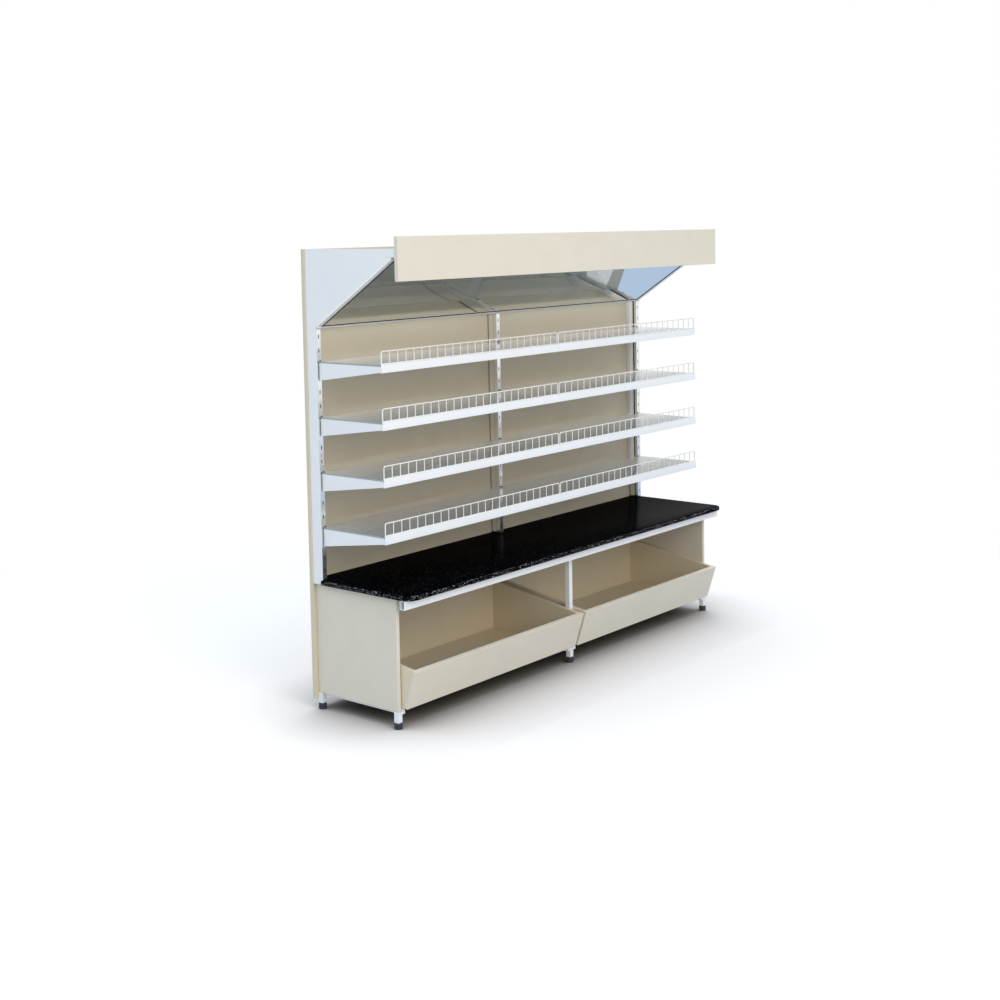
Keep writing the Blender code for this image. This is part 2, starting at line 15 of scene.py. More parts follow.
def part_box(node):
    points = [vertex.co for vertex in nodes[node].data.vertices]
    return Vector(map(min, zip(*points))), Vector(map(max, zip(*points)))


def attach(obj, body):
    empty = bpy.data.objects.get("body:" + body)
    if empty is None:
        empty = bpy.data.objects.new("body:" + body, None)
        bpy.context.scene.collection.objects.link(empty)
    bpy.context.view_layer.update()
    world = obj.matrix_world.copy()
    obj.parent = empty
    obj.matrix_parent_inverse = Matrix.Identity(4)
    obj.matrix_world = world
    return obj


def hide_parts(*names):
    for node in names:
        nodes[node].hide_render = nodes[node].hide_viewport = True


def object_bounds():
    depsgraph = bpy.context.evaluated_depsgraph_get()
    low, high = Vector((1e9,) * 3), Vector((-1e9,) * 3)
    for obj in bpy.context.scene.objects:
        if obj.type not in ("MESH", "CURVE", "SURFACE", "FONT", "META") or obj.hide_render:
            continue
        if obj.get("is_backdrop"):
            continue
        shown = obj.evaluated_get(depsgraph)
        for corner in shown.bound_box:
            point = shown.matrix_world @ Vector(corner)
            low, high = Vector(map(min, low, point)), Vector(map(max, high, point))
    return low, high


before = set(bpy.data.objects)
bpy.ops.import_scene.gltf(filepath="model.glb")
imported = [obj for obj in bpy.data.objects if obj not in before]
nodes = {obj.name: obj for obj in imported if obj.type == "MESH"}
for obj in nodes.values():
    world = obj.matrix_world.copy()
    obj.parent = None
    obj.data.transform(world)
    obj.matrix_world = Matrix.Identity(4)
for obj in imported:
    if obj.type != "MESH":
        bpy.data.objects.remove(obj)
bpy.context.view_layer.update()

# %% [markdown]
# ## Camera
# The camera stands at eye height, in front of the left end. Its place came from the directions of the long
# edges and from the lengths along them. The lens looks almost level, so the uprights stay upright in the
# picture, and a small downward shift of the film brings the base into the frame.

# %% Camera
FRAME_PX = 1000
SENSOR_MM = 36.0
FOCAL_PX = 1496.4
CENTRE_PX = (515.4, 340.0)  # the point straight ahead of the lens
EYE = Vector((-4.6811, -3.7217, 1.7409))
HEADING, PITCH, ROLL = (math.radians(a) for a in (50.791, -4.321, -0.992))

ahead = Vector((math.cos(PITCH) * math.sin(HEADING), math.cos(PITCH) * math.cos(HEADING), math.sin(PITCH)))
level_right = Vector((math.cos(HEADING), -math.sin(HEADING), 0.0))
level_up = level_right.cross(ahead)
right = level_right * math.cos(ROLL) + level_up * math.sin(ROLL)
up = right.cross(ahead)

lens = bpy.data.cameras.new("shop camera")
lens.sensor_width = SENSOR_MM
lens.lens = FOCAL_PX * SENSOR_MM / FRAME_PX
lens.shift_x = (FRAME_PX / 2 - CENTRE_PX[0]) / FRAME_PX
lens.shift_y = (CENTRE_PX[1] - FRAME_PX / 2) / FRAME_PX
camera = bpy.data.objects.new("shop camera", lens)
camera.matrix_world = Matrix((right, up, -ahead)).transposed().to_4x4()
camera.location = EYE
bpy.context.scene.collection.objects.link(camera)
bpy.context.scene.camera = camera
print("lens", round(lens.lens, 2), "mm, shift", round(lens.shift_x, 4), round(lens.shift_y, 4))

# %% [markdown]
# ## Colours and shader nodes
# Colours are written as sRGB hex values, as a paint chart gives them, and one function turns them into the
# linear numbers that shaders need. A second small function adds a shader node, sets it and links it, so
# that each material below reads as a short recipe.


# %% Colours and shader nodes
def linear(hex_colour):
    """sRGB hex to linear RGBA: divide by 12.92 near black, else the 2.4 power curve."""
    channels = np.array([int(hex_colour[i : i + 2], 16) for i in (1, 3, 5)]) / 255
    curved = np.where(channels <= 0.04045, channels / 12.92, ((channels + 0.055) / 1.055) ** 2.4)
    return (*curved.tolist(), 1.0)


def add_node(tree, kind, inputs=None, **settings):
    """Adds one node; settings are its own options, and each input gets a value or another node's socket."""
    made = tree.nodes.new(kind)
    for option, value in settings.items():
        setattr(made, option, value)
    for socket, value in (inputs or {}).items():
        if isinstance(value, bpy.types.NodeSocket):
            tree.links.new(value, made.inputs[socket])
        else:
            made.inputs[socket].default_value = value
    return made


def new_finish(name, **values):
    """A material with a Principled shader whose constant values sit on its own sockets."""
    made = bpy.data.materials.new(name)
    made.use_nodes = True
    shader = made.node_tree.nodes["Principled BSDF"]
    for socket, value in values.items():
        shader.inputs[socket.replace("_", " ")].default_value = value
    return made, made.node_tree, shader


MIX_A, MIX_B, MIX_OUT = 6, 7, 2  # the colour sockets of a Mix node
WHITE = linear("#ffffff")
print("white is", WHITE)

# %% [markdown]
# ## Beige laminate
# The boards are chipboard faced with melamine: printed paper under hard resin, pressed between plates with
# a fine pearl grain. The eye sees an even, satin beige with a very slight cloudiness, and a soft sheen at
# the edges. Slow noise gives the clouds, and a fine noise gives the grain to the bump.

# %% Beige laminate
CLOUD_MM = 90
PEARL_MM = 1.2  # the real grain is about 0.3 mm, drawn coarser so that it shows
# The back boards and the bins take darker, browner copies of the same laminate: painted shade, for the shade
# deep inside the bays and the bins.
BOARD_TONES = {
    "melamine faced board": ("#dad1be", "#e2dac8"),
    "melamine faced back board": ("#d1c6ad", "#dacfb7"),
    "melamine faced bin board": ("#d8cbae", "#e0d4ba"),
}

boards = {}
for name, (dark, light) in BOARD_TONES.items():
    boards[name], tree, shader = new_finish(name)
    place = add_node(tree, "ShaderNodeTexCoord").outputs["Object"]
    clouds = add_node(tree, "ShaderNodeTexNoise", {"Vector": place, "Scale": 1000 / CLOUD_MM, "Detail": 4.0})
    tone = add_node(
        tree,
        "ShaderNodeMix",
        {0: clouds.outputs["Fac"], MIX_A: linear(dark), MIX_B: linear(light)},
        data_type="RGBA",
    )
    sheen = add_node(
        tree,
        "ShaderNodeMapRange",
        {"Value": clouds.outputs["Fac"], "From Min": 0.3, "From Max": 0.7, "To Min": 0.38, "To Max": 0.47},
    )
    pearl = add_node(tree, "ShaderNodeTexNoise", {"Vector": place, "Scale": 1000 / PEARL_MM, "Detail": 1.0})
    relief = add_node(
        tree, "ShaderNodeBump", {"Height": pearl.outputs["Fac"], "Strength": 0.12, "Distance": 0.0002}
    )
    tree.links.new(tone.outputs[MIX_OUT], shader.inputs["Base Color"])
    tree.links.new(sheen.outputs["Result"], shader.inputs["Roughness"])
    tree.links.new(relief.outputs["Normal"], shader.inputs["Normal"])
laminate, back_laminate_painted_shade, bin_laminate_painted_shade = boards.values()
print("made", ", ".join(boards))

# %% [markdown]
# ## White powder coat
# Brackets, shelf edgings, rails and canopy plates are steel with a baked powder coat. The powder melts into
# a smooth film with a faint orange-peel ripple, a few millimetres across, in a plain white.

# %% White powder coat
PEEL_MM = 3.0
DRIFTS_PER_M = 6.0
COAT_SHADE = linear("#ebecec")
COAT_LIGHT = linear("#f2f3f3")

powder_coat, tree, shader = new_finish("white powder coat", Roughness=0.34)
place = add_node(tree, "ShaderNodeTexCoord").outputs["Object"]
drift = add_node(tree, "ShaderNodeTexNoise", {"Vector": place, "Scale": DRIFTS_PER_M, "Detail": 2.0})
tone = add_node(
    tree,
    "ShaderNodeMix",
    {0: drift.outputs["Fac"], MIX_A: COAT_SHADE, MIX_B: COAT_LIGHT},
    data_type="RGBA",
)
peel = add_node(tree, "ShaderNodeTexNoise", {"Vector": place, "Scale": 1000 / PEEL_MM, "Detail": 0.0})
relief = add_node(
    tree, "ShaderNodeBump", {"Height": peel.outputs["Fac"], "Strength": 0.06, "Distance": 0.0004}
)
tree.links.new(tone.outputs[MIX_OUT], shader.inputs["Base Color"])
tree.links.new(relief.outputs["Normal"], shader.inputs["Normal"])
print("made", powder_coat.name)

# %% [markdown]
# ## Bright anodised aluminium
# The uprights are drawn through a die and anodised. They mirror what is round them softly, and the die
# leaves fine lines along their length, so the noise is squeezed across the profile and stretched along it.
# An occlusion node darkens the slots and corners: painted shade, where less light reaches into them.

# %% Bright anodised aluminium
DIE_LINE_MM = 0.9  # the real lines are finer, drawn coarser so that they show
DIE_LINE_LENGTH_MM = 180
# Painted shade: within this reach, the less open a point is, the darker its colour.
PAINTED_SHADE_REACH = 0.012
FULL_PAINTED_SHADE, NO_PAINTED_SHADE = 0.58, 0.86  # openness at which the metal is fully dark or bright

aluminium, tree, shader = new_finish("bright anodised aluminium", Metallic=0.92)
place = add_node(tree, "ShaderNodeTexCoord").outputs["Object"]
stretched = add_node(
    tree,
    "ShaderNodeMapping",
    {"Vector": place, "Scale": (1000 / DIE_LINE_MM, 1000 / DIE_LINE_MM, 1000 / DIE_LINE_LENGTH_MM)},
)
lines = add_node(tree, "ShaderNodeTexNoise", {"Vector": stretched.outputs["Vector"], "Scale": 1.0})
gloss = add_node(
    tree,
    "ShaderNodeMapRange",
    {"Value": lines.outputs["Fac"], "From Min": 0.3, "From Max": 0.7, "To Min": 0.12, "To Max": 0.22},
)
relief = add_node(
    tree, "ShaderNodeBump", {"Height": lines.outputs["Fac"], "Strength": 0.08, "Distance": 0.0001}
)
openness = add_node(tree, "ShaderNodeAmbientOcclusion", {"Distance": PAINTED_SHADE_REACH}, samples=8)
shade_free = add_node(
    tree,
    "ShaderNodeMapRange",
    {"Value": openness.outputs["AO"], "From Min": FULL_PAINTED_SHADE, "From Max": NO_PAINTED_SHADE},
)
# The dark end of this mix is painted shade in the slots and corners.
tone = add_node(
    tree,
    "ShaderNodeMix",
    {0: shade_free.outputs["Result"], MIX_A: linear("#2a2620"), MIX_B: linear("#f2f4f6")},
    data_type="RGBA",
)
tree.links.new(tone.outputs[MIX_OUT], shader.inputs["Base Color"])
tree.links.new(gloss.outputs["Result"], shader.inputs["Roughness"])
tree.links.new(relief.outputs["Normal"], shader.inputs["Normal"])
print("made", aluminium.name)

# %% [markdown]
# ## Black speckled laminate
# The counter is a post-formed board with a granite print: black, with flecks of one to three millimetres. A
# cell pattern gives each fleck its own place, size and shade, in a coarse and a fine layer. On the flat top
# the flecks are dim greys; round the edge they are denser and pale: painted highlight, where the rounded
# edge catches the light.

# %% Black speckled laminate
FLECK_LAYERS_MM = (5.0, 2.6)  # distance between the flecks of each layer
FLECK_RIM, FLECK_CORE = 0.34, 0.22  # in cells from a fleck's middle: where it ends, and where it is full
STONE_BLACK = linear("#030304")
GLOSS_IOR = 1.012  # a very low index keeps the black from greying at flat angles
FLECKS = {  # share of the cells that carry a fleck, and the greys of both layers
    "black speckled laminate": (0.2, ("#5a5e62", "#34383c")),
    # The edge print's pale, dense flecks are painted highlight along the rounded edge.
    "black speckled laminate edge": (0.5, ("#e8eaec", "#b4b8bd")),
}

prints = {}
for name, (share, greys) in FLECKS.items():
    prints[name], tree, shader = new_finish(name, Roughness=0.14, IOR=GLOSS_IOR)
    place = add_node(tree, "ShaderNodeTexCoord").outputs["Object"]
    print_colour = None
    for spacing, grey in zip(FLECK_LAYERS_MM, greys):
        cells = add_node(tree, "ShaderNodeTexVoronoi", {"Vector": place, "Scale": 1000 / spacing})
        chance = add_node(tree, "ShaderNodeSeparateColor", {"Color": cells.outputs["Color"]})
        near = add_node(
            tree,
            "ShaderNodeMapRange",
            {"Value": cells.outputs["Distance"], "From Min": FLECK_RIM, "From Max": FLECK_CORE},
        )
        chosen = add_node(
            tree,
            "ShaderNodeMapRange",
            {"Value": chance.outputs["Red"], "From Min": 1 - share, "From Max": 1.0},
        )
        amount = add_node(
            tree,
            "ShaderNodeMath",
            {0: near.outputs["Result"], 1: chosen.outputs["Result"]},
            operation="MULTIPLY",
        )
        layer = add_node(
            tree,
            "ShaderNodeMix",
            {0: amount.outputs["Value"], MIX_A: print_colour or STONE_BLACK, MIX_B: linear(grey)},
            data_type="RGBA",
        )
        print_colour = layer.outputs[MIX_OUT]
    tree.links.new(print_colour, shader.inputs["Base Color"])
stone, stone_edge_painted_highlight = prints.values()
print("made", ", ".join(prints))

# %% [markdown]
# ## Silvered glass
# Each mirror is a sheet of float glass, silvered behind and closed with grey paint. The face returns nearly
# all the light, with a trace of green from the glass. Real sheets are a little wavy, so a slow bump bends
# the reflection by a fraction of a degree.

# %% Silvered glass
WAVE_MM = 260

silver, tree, shader = new_finish(
    "silvered float glass", Base_Color=linear("#eceeec"), Metallic=1.0, Roughness=0.02
)
place = add_node(tree, "ShaderNodeTexCoord").outputs["Object"]
waves = add_node(tree, "ShaderNodeTexNoise", {"Vector": place, "Scale": 1000 / WAVE_MM, "Detail": 0.0})
relief = add_node(
    tree, "ShaderNodeBump", {"Height": waves.outputs["Fac"], "Strength": 0.25, "Distance": 0.002}
)
tree.links.new(relief.outputs["Normal"], shader.inputs["Normal"])
print("made", silver.name)

# %% [markdown]
# ## Clear glass
# The shelves are panes of float glass. A pane lets most of the light through and mirrors more the flatter
# one looks along it. Fine dust lies on it: it dims the pane a little and whitens it most at a flat angle,
# as sheen does. Wiping has left faint marks: a slow noise that dulls the pane a little here and there. Its
# ground edges are matt and greenish, because the light in them comes a long way through the glass.

# %% Clear glass
WIPE_MM = 140
GRIND_MM = 1.5

glass, tree, shader = new_finish(
    "clear float glass",
    Base_Color=linear("#d4d9d9"),
    IOR=1.52,
    Transmission_Weight=0.82,
    Sheen_Weight=0.48,
    Sheen_Roughness=0.35,
)
place = add_node(tree, "ShaderNodeTexCoord").outputs["Object"]
wipes = add_node(tree, "ShaderNodeTexNoise", {"Vector": place, "Scale": 1000 / WIPE_MM, "Detail": 3.0})
dulled = add_node(
    tree,
    "ShaderNodeMapRange",
    {"Value": wipes.outputs["Fac"], "From Min": 0.4, "From Max": 0.8, "To Min": 0.0, "To Max": 0.05},
)
tree.links.new(dulled.outputs["Result"], shader.inputs["Roughness"])

glass_edge, tree, shader = new_finish("ground glass edge", Roughness=0.5, IOR=1.52)
place = add_node(tree, "ShaderNodeTexCoord").outputs["Object"]
ground = add_node(tree, "ShaderNodeTexNoise", {"Vector": place, "Scale": 1000 / GRIND_MM, "Detail": 2.0})
tone = add_node(
    tree,
    "ShaderNodeMix",
    {0: ground.outputs["Fac"], MIX_A: linear("#86948f"), MIX_B: linear("#adb9b4")},
    data_type="RGBA",
)
tree.links.new(tone.outputs[MIX_OUT], shader.inputs["Base Color"])
print("made", glass.name, "and", glass_edge.name)

# %% [markdown]
# ## Coated wire
# The guards are welded steel wire, dipped in white plastic. The coat is thick and soft looking, with slow
# runs along the wire, and a little warmer than the powder coat.

# %% Coated wire
RUN_MM = 7.0

wire_coat, tree, shader = new_finish("white plastic coated wire", Roughness=0.38)
place = add_node(tree, "ShaderNodeTexCoord").outputs["Object"]
runs = add_node(tree, "ShaderNodeTexNoise", {"Vector": place, "Scale": 1000 / RUN_MM, "Detail": 1.0})
tone = add_node(
    tree,
    "ShaderNodeMix",
    {0: runs.outputs["Fac"], MIX_A: linear("#eae8e1"), MIX_B: linear("#f7f6f1")},
    data_type="RGBA",
)
relief = add_node(
    tree, "ShaderNodeBump", {"Height": runs.outputs["Fac"], "Strength": 0.1, "Distance": 0.0005}
)
tree.links.new(tone.outputs[MIX_OUT], shader.inputs["Base Color"])
tree.links.new(relief.outputs["Normal"], shader.inputs["Normal"])
print("made", wire_coat.name)

# %% [markdown]
# ## Black foot plastic
# The feet are moulded in black plastic with a fine spark-eroded grain, which greys the surface slightly and
# breaks up its highlights.

# %% Black foot plastic
GRAIN_MM = 0.8  # the real grain is about 0.2 mm, drawn coarser so that it shows

foot_plastic, tree, shader = new_finish("moulded black plastic", Roughness=0.5)
place = add_node(tree, "ShaderNodeTexCoord").outputs["Object"]
grain = add_node(tree, "ShaderNodeTexNoise", {"Vector": place, "Scale": 1000 / GRAIN_MM, "Detail": 2.0})
tone = add_node(
    tree,
    "ShaderNodeMix",
    {0: grain.outputs["Fac"], MIX_A: linear("#26262a"), MIX_B: linear("#37373c")},
    data_type="RGBA",
)
relief = add_node(
    tree, "ShaderNodeBump", {"Height": grain.outputs["Fac"], "Strength": 0.2, "Distance": 0.0002}
)
tree.links.new(tone.outputs[MIX_OUT], shader.inputs["Base Color"])
tree.links.new(relief.outputs["Normal"], shader.inputs["Normal"])
print("made", foot_plastic.name)

# %% [markdown]
# ## Finishes on the solids
# The flat boards, folded sheets and extruded profiles already have their true shape in the frame, so they
# keep it and only change their finish. The name of a node says what it is made of.

# %% Finishes on the solids
# The back boards and the bins take the laminate copies darkened as painted shade.
FINISH_OF = {
    "back_board": back_laminate_painted_shade,
    "side_panel": laminate,
    "bin_left_front": laminate,
    "bin_right_front": laminate,
    "bin": bin_laminate_painted_shade,
    "fascia": laminate,
    "upright": aluminium,
    "mirror": silver,
    "shelf_pane": glass,
    "foot": foot_plastic,
    "counter": stone,
}
for name, solid in nodes.items():
    finish = next((f for start, f in FINISH_OF.items() if name.startswith(start)), powder_coat)
    solid.data.materials.clear()
    solid.data.materials.append(finish)
print("dressed", len(nodes), "solids")

# %% [markdown]
# ## Putting a surface into the scene
# Every new piece below is a set of numpy arrays: points, and faces that name them. One function makes the
# object, shades it, gives it a finish, ties it to the body that carries it, and hides the solids that it
# stands for.


# %% Putting a surface into the scene
def merge(parts):
    """Joins (points, faces) pairs into one: each part's face numbers move on by the points before it."""
    points, faces, count = [], [], 0
    for part_points, part_faces in parts:
        points.append(part_points)
        faces += [[i + count for i in face] for face in part_faces]
        count += len(part_points)
    return np.concatenate(points), faces


def put(
    name, surface, finish, body="shelf_unit", stands_for=(), sharp_deg=35, edge=None, edge_faces=()
):
    """Makes the object from (points, faces), smooth but for edges sharper than the angle, and lets it ride.

    The faces listed in edge_faces get the finish named edge.
    """
    points, faces = surface
    mesh = bpy.data.meshes.new(name)
    mesh.from_pydata(np.asarray(points).tolist(), [], faces)
    mesh.shade_smooth()
    mesh.set_sharp_from_angle(angle=math.radians(sharp_deg))
    mesh.materials.append(finish)
    if edge:
        mesh.materials.append(edge)
        for i in edge_faces:
            mesh.polygons[i].material_index = 1
    piece = bpy.data.objects.new(name, mesh)
    bpy.context.scene.collection.objects.link(piece)
    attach(piece, body)
    if stands_for:
        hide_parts(*stands_for)
    return piece


def grid_faces(rows, columns):
    """Quads of a grid whose points run row by row; each row is a closed ring."""
    r = np.arange(rows - 1)[:, None] * columns
    c = np.arange(columns)[None, :]
    across = (c + 1) % columns
    quads = np.stack([r + c, r + across, r + columns + across, r + columns + c], axis=-1)
    return quads.reshape(-1, 4).tolist()


def tube(path, radius, sides=10):
    """A round wire, capped at both ends: rings of path + radius * (cos t * across + sin t * over)."""
    path = np.asarray(path, float)
    along = np.gradient(path, axis=0)
    along /= np.linalg.norm(along, axis=1)[:, None]
    over = np.broadcast_to((0.0, 1.0, 0.0), along.shape)
    across = np.cross(along, over)
    across /= np.linalg.norm(across, axis=1)[:, None]
    t = np.linspace(0, 2 * math.pi, sides, endpoint=False)[None, :, None]
    rings = path[:, None] + radius * (np.cos(t) * across[:, None] + np.sin(t) * over[:, None])
    faces = [face[::-1] for face in grid_faces(len(path), sides)]
    last = (len(path) - 1) * sides
    faces += [list(range(sides)), list(range(last + sides - 1, last - 1, -1))]
    return rings.reshape(-1, 3), faces


def softened(outline, radius, steps=4):
    """A closed outline with its corners rounded.

    Each corner becomes corner + r * ((1 - t)^2 * way back + t^2 * way on), with t from 0 to 1.
    """
    outline = np.asarray(outline, float)
    ways = [np.roll(outline, shift, axis=0) - outline for shift in (1, -1)]
    back, on = (way / np.linalg.norm(way, axis=1)[:, None] for way in ways)
    t = np.linspace(0, 1, steps + 1)[None, :, None]
    curves = outline[:, None] + radius * ((1 - t) ** 2 * back[:, None] + t**2 * on[:, None])
    return curves.reshape(-1, 2)


def bar_faces(n):
    """Faces of a straight bar with n points round each end: its sides and two flat caps."""
    return grid_faces(2, n) + [list(range(n))[::-1], list(range(n, 2 * n))]


def bar(section, start, end, axis=0):
    """A bar along an axis, 0 for X and 2 for Z: an anticlockwise outline in the next two axes."""
    n = len(section)
    points = np.concatenate([np.column_stack([np.full(n, place), section]) for place in (start, end)])
    return np.roll(points, axis, axis=1), bar_faces(n)


print("helpers ready")

# %% [markdown]
# ## Glass shelves
# Each shelf is a pane whose front edge sits in the channel of a white edging. Both are outlines carried
# along the bay. The pane's outline is a thin rectangle with its edges taken off by the grinder; the
# edging's goes up the skirt, over the glass, back into the channel, under the glass and down to a small
# return at the foot.

# %% Glass shelves
FIT = 0.0003  # between pieces that touch
ARRIS = 0.0006
EDGING_ROUND = 0.0005
LIP, RETURN = 0.007, 0.008
ARC = 4  # steps in a rounded corner

shelf_tops = {}
for level in range(1, 5):
    for side in ("left", "right"):
        low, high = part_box(f"shelf_pane_{level}_{side}")
        corners = [(low.y, low.z), (high.y, low.z), (high.y, high.z), (low.y, high.z)]
        section = softened(corners, ARRIS, ARC)
        broad = (ARC, 3 * ARC + 2)  # the two large faces, at the bottom and at the top
        rim = [i for i in range(len(section) + 2) if i not in broad]
        name = f"shelf_pane_{level}_{side}"
        surface = bar(section, low.x, high.x)
        put(f"glass_{name}", surface, glass, stands_for=[name], edge=glass_edge, edge_faces=rim)

        front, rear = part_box(f"shelf_front_{level}_{side}")
        wall = low.y - FIT - front.y
        top, seat, foot = high.z + FIT + wall, low.z - FIT, front.z
        shelf_tops[level] = top
        skirt = [
            (front.y, foot),
            (front.y + RETURN, foot),
            (front.y + RETURN, foot + wall),
            (front.y + wall, foot + wall),
            (front.y + wall, seat - wall),
            (rear.y, seat - wall),
            (rear.y, seat),
            (front.y + wall, seat),
            (front.y + wall, top - wall),
            (front.y + LIP, top - wall),
            (front.y + LIP, top),
            (front.y, top),
        ]
        surface = bar(softened(skirt, EDGING_ROUND, ARC), front.x, rear.x)
        name = f"shelf_front_{level}_{side}"
        put(f"edging_{level}_{side}", surface, powder_coat, stands_for=[name])
print("shelf tops", {level: round(top, 4) for level, top in shelf_tops.items()})

# %% [markdown]
# ## Wire guards
# Each edging carries a ladder of wire. The outer wire stands up at one end, turns with a small bend, runs
# along and comes down again; a second wire lies along the edging, and thin upright wires are welded between
# them. Tubes are carried along these paths. The wire's middle lies in a plane across Y, so one fixed
# direction keeps every ring square to its path.

# %% Wire guards
OUTER_WIRE_R = 0.002
PICKET_R = 0.0016
GUARD_INSET = 0.0025  # from the edging's front and ends
GUARD_BEND = 0.007
BEND_STEPS = 6
GUARD_GAPS = 24

for level, z0 in shelf_tops.items():
    for side in ("left", "right"):
        low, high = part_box(f"shelf_front_{level}_{side}")
        y = low.y + GUARD_INSET + OUTER_WIRE_R
        x0, x1 = low.x + GUARD_INSET + OUTER_WIRE_R, high.x - GUARD_INSET - OUTER_WIRE_R
        z1 = high.z - OUTER_WIRE_R
        turn = np.linspace(0, math.pi / 2, BEND_STEPS + 1)
        bend_x = x0 + GUARD_BEND * (1 - np.cos(turn))
        bend_z = z1 - GUARD_BEND * (1 - np.sin(turn))
        rise = np.stack([bend_x, np.full_like(turn, y), bend_z], axis=1)
        fall = rise[::-1] * (-1, 1, 1) + (x0 + x1, 0, 0)
        outer = np.concatenate([[(x0, y, z0)], rise, fall, [(x1, y, z0)]])
        runner_z = z0 + OUTER_WIRE_R
        parts = [tube(outer, OUTER_WIRE_R), tube([(x0, y, runner_z), (x1, y, runner_z)], OUTER_WIRE_R)]
        for x in np.linspace(x0, x1, GUARD_GAPS + 1)[1:-1]:
            parts.append(tube([(x, y, runner_z), (x, y, z1)], PICKET_R, sides=8))
        put(f"wire_guard_{level}_{side}", merge(parts), wire_coat)
print("guards", GUARD_GAPS, "gaps each")

# %% [markdown]
# ## Counter
# The counter is one board with its print wrapped round the front and the ends. Seen from above it has large
# rounded front corners, and notches at the back for the three uprights. The outline is worked out once;
# rings of it are then moved in and up along a quarter circle, at the bottom edge and at the top edge.

# %% Counter
CORNER_R = 0.045
CORNER_STEPS = 14
EDGE_R = 0.005
EDGE_STEPS = 6

low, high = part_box("counter")
upright_low, upright_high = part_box("upright_middle")
seam = upright_low.y - FIT
half_notch = upright_high.x + FIT
end_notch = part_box("upright_right")[0].x - FIT
arc = np.linspace(0, math.pi / 2, CORNER_STEPS + 1)
corner = np.stack(
    [high.x - CORNER_R * (1 - np.cos(arc)), low.y + CORNER_R * (1 - np.sin(arc))], axis=1
)
inward = -np.stack([np.cos(arc), -np.sin(arc)], axis=1)
front_right = np.concatenate([[(high.x, seam)], corner])
inward_right = np.concatenate([[(-1.0, 0.0)], inward])
rear_left = np.array(
    [(-end_notch, seam), (-end_notch, high.y), (-half_notch, high.y), (-half_notch, seam)]
)
outline = np.concatenate(
    [front_right, front_right[::-1] * (-1, 1), rear_left, rear_left[::-1] * (-1, 1)]
)
stays = np.zeros((2 * len(rear_left), 2))
inset_way = np.concatenate([inward_right, inward_right[::-1] * (-1, 1), stays])
turn = np.linspace(0, math.pi / 2, EDGE_STEPS + 1)
insets = np.concatenate([EDGE_R * (1 - np.sin(turn)), EDGE_R * (1 - np.cos(turn))])
heights = np.concatenate([low.z + EDGE_R * (1 - np.cos(turn)), high.z - EDGE_R * (1 - np.sin(turn))])
rings = outline[None] + insets[:, None, None] * inset_way[None]
points = np.concatenate(
    [rings, np.broadcast_to(heights[:, None, None], (*rings.shape[:2], 1))], axis=2
).reshape(-1, 3)
count = len(outline)
faces = [face[::-1] for face in grid_faces(len(heights), count)]
top_start = (len(heights) - 1) * count
faces += [list(range(count)), list(range(top_start + count - 1, top_start - 1, -1))]
rim = range(len(faces) - 2)
surface = points, faces
# The rounded rim takes the edge print, whose pale flecks are painted highlight.
put("counter_top", surface, stone, stands_for=["counter"], edge=stone_edge_painted_highlight, edge_faces=rim)
print("counter", count, "points round", len(heights), "rings")

# %% [markdown]
# ## Infills of the uprights
# A groove runs down both sides of each upright. On the middle upright a flush aluminium strip closes it. On
# the end uprights a black rubber strip fills it: painted shade, a dark piece where the groove lies in shade.
# Behind it a white moulding with a slanting face fills the corner to the back board. Each is a small outline
# with rounded edges, carried up the profile.

# %% Infills of the uprights
GROOVE_START, GROOVE_END, GROOVE_DEPTH = 0.012, 0.018, 0.003
COVER_W, COVER_SLANT, COVER_ROUND = 0.012, 0.010, 0.001
COVER_BELOW_SHELF = 0.13  # the moulding starts this far below the first shelf
COVER_BELOW_TOP = 0.02  # and ends this far below the upright's top
STRIP_ROUND = 0.0002
RUBBER_BLOOMS_PER_M = 150.0

rubber, tree, shader = new_finish("black rubber", Roughness=0.45)
place = add_node(tree, "ShaderNodeTexCoord").outputs["Object"]
bloom = add_node(tree, "ShaderNodeTexNoise", {"Vector": place, "Scale": RUBBER_BLOOMS_PER_M, "Detail": 2.0})
tone = add_node(
    tree,
    "ShaderNodeMix",
    {0: bloom.outputs["Fac"], MIX_A: linear("#0d0e13"), MIX_B: linear("#1b1d25")},
    data_type="RGBA",
)
tree.links.new(tone.outputs[MIX_OUT], shader.inputs["Base Color"])


def rectangle(x0, x1, y0, y1):
    """An anticlockwise outline with rounded corners."""
    return softened([(x0, y0), (x1, y0), (x1, y1), (x0, y1)], STRIP_ROUND, 2)


# On the end uprights the black rubber strips are painted shade: dark pieces where the groove lies in shade.
for column, infill in {"left": rubber, "middle": aluminium, "right": rubber}.items():
    low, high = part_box(f"upright_{column}")
    groove = low.y + GROOVE_START + FIT, low.y + GROOVE_END - FIT
    strips = [
        bar(rectangle(low.x + FIT, low.x + GROOVE_DEPTH - FIT, *groove), low.z, high.z, axis=2),
        bar(rectangle(high.x - GROOVE_DEPTH + FIT, high.x - FIT, *groove), low.z, high.z, axis=2),
    ]
    put(f"infill_{column}", merge(strips), infill)
    if column != "middle":
        front, rear = low.y + GROOVE_END + FIT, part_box("back_board_right")[0].y - FIT
        x = low.x - FIT
        moulding = np.array(
            [(x - COVER_W, front + COVER_SLANT), (x, front), (x, rear), (x - COVER_W, rear)]
        )
        if column == "left":
            moulding = (moulding * (-1, 1) + (low.x + high.x, 0))[::-1]
        ends = shelf_tops[1] - COVER_BELOW_SHELF, high.z - COVER_BELOW_TOP
        cover = bar(softened(moulding, COVER_ROUND, 2), *ends, axis=2)
        put(f"post_cover_{column}", cover, powder_coat)
print("infills in", GROOVE_END - GROOVE_START, "m grooves")

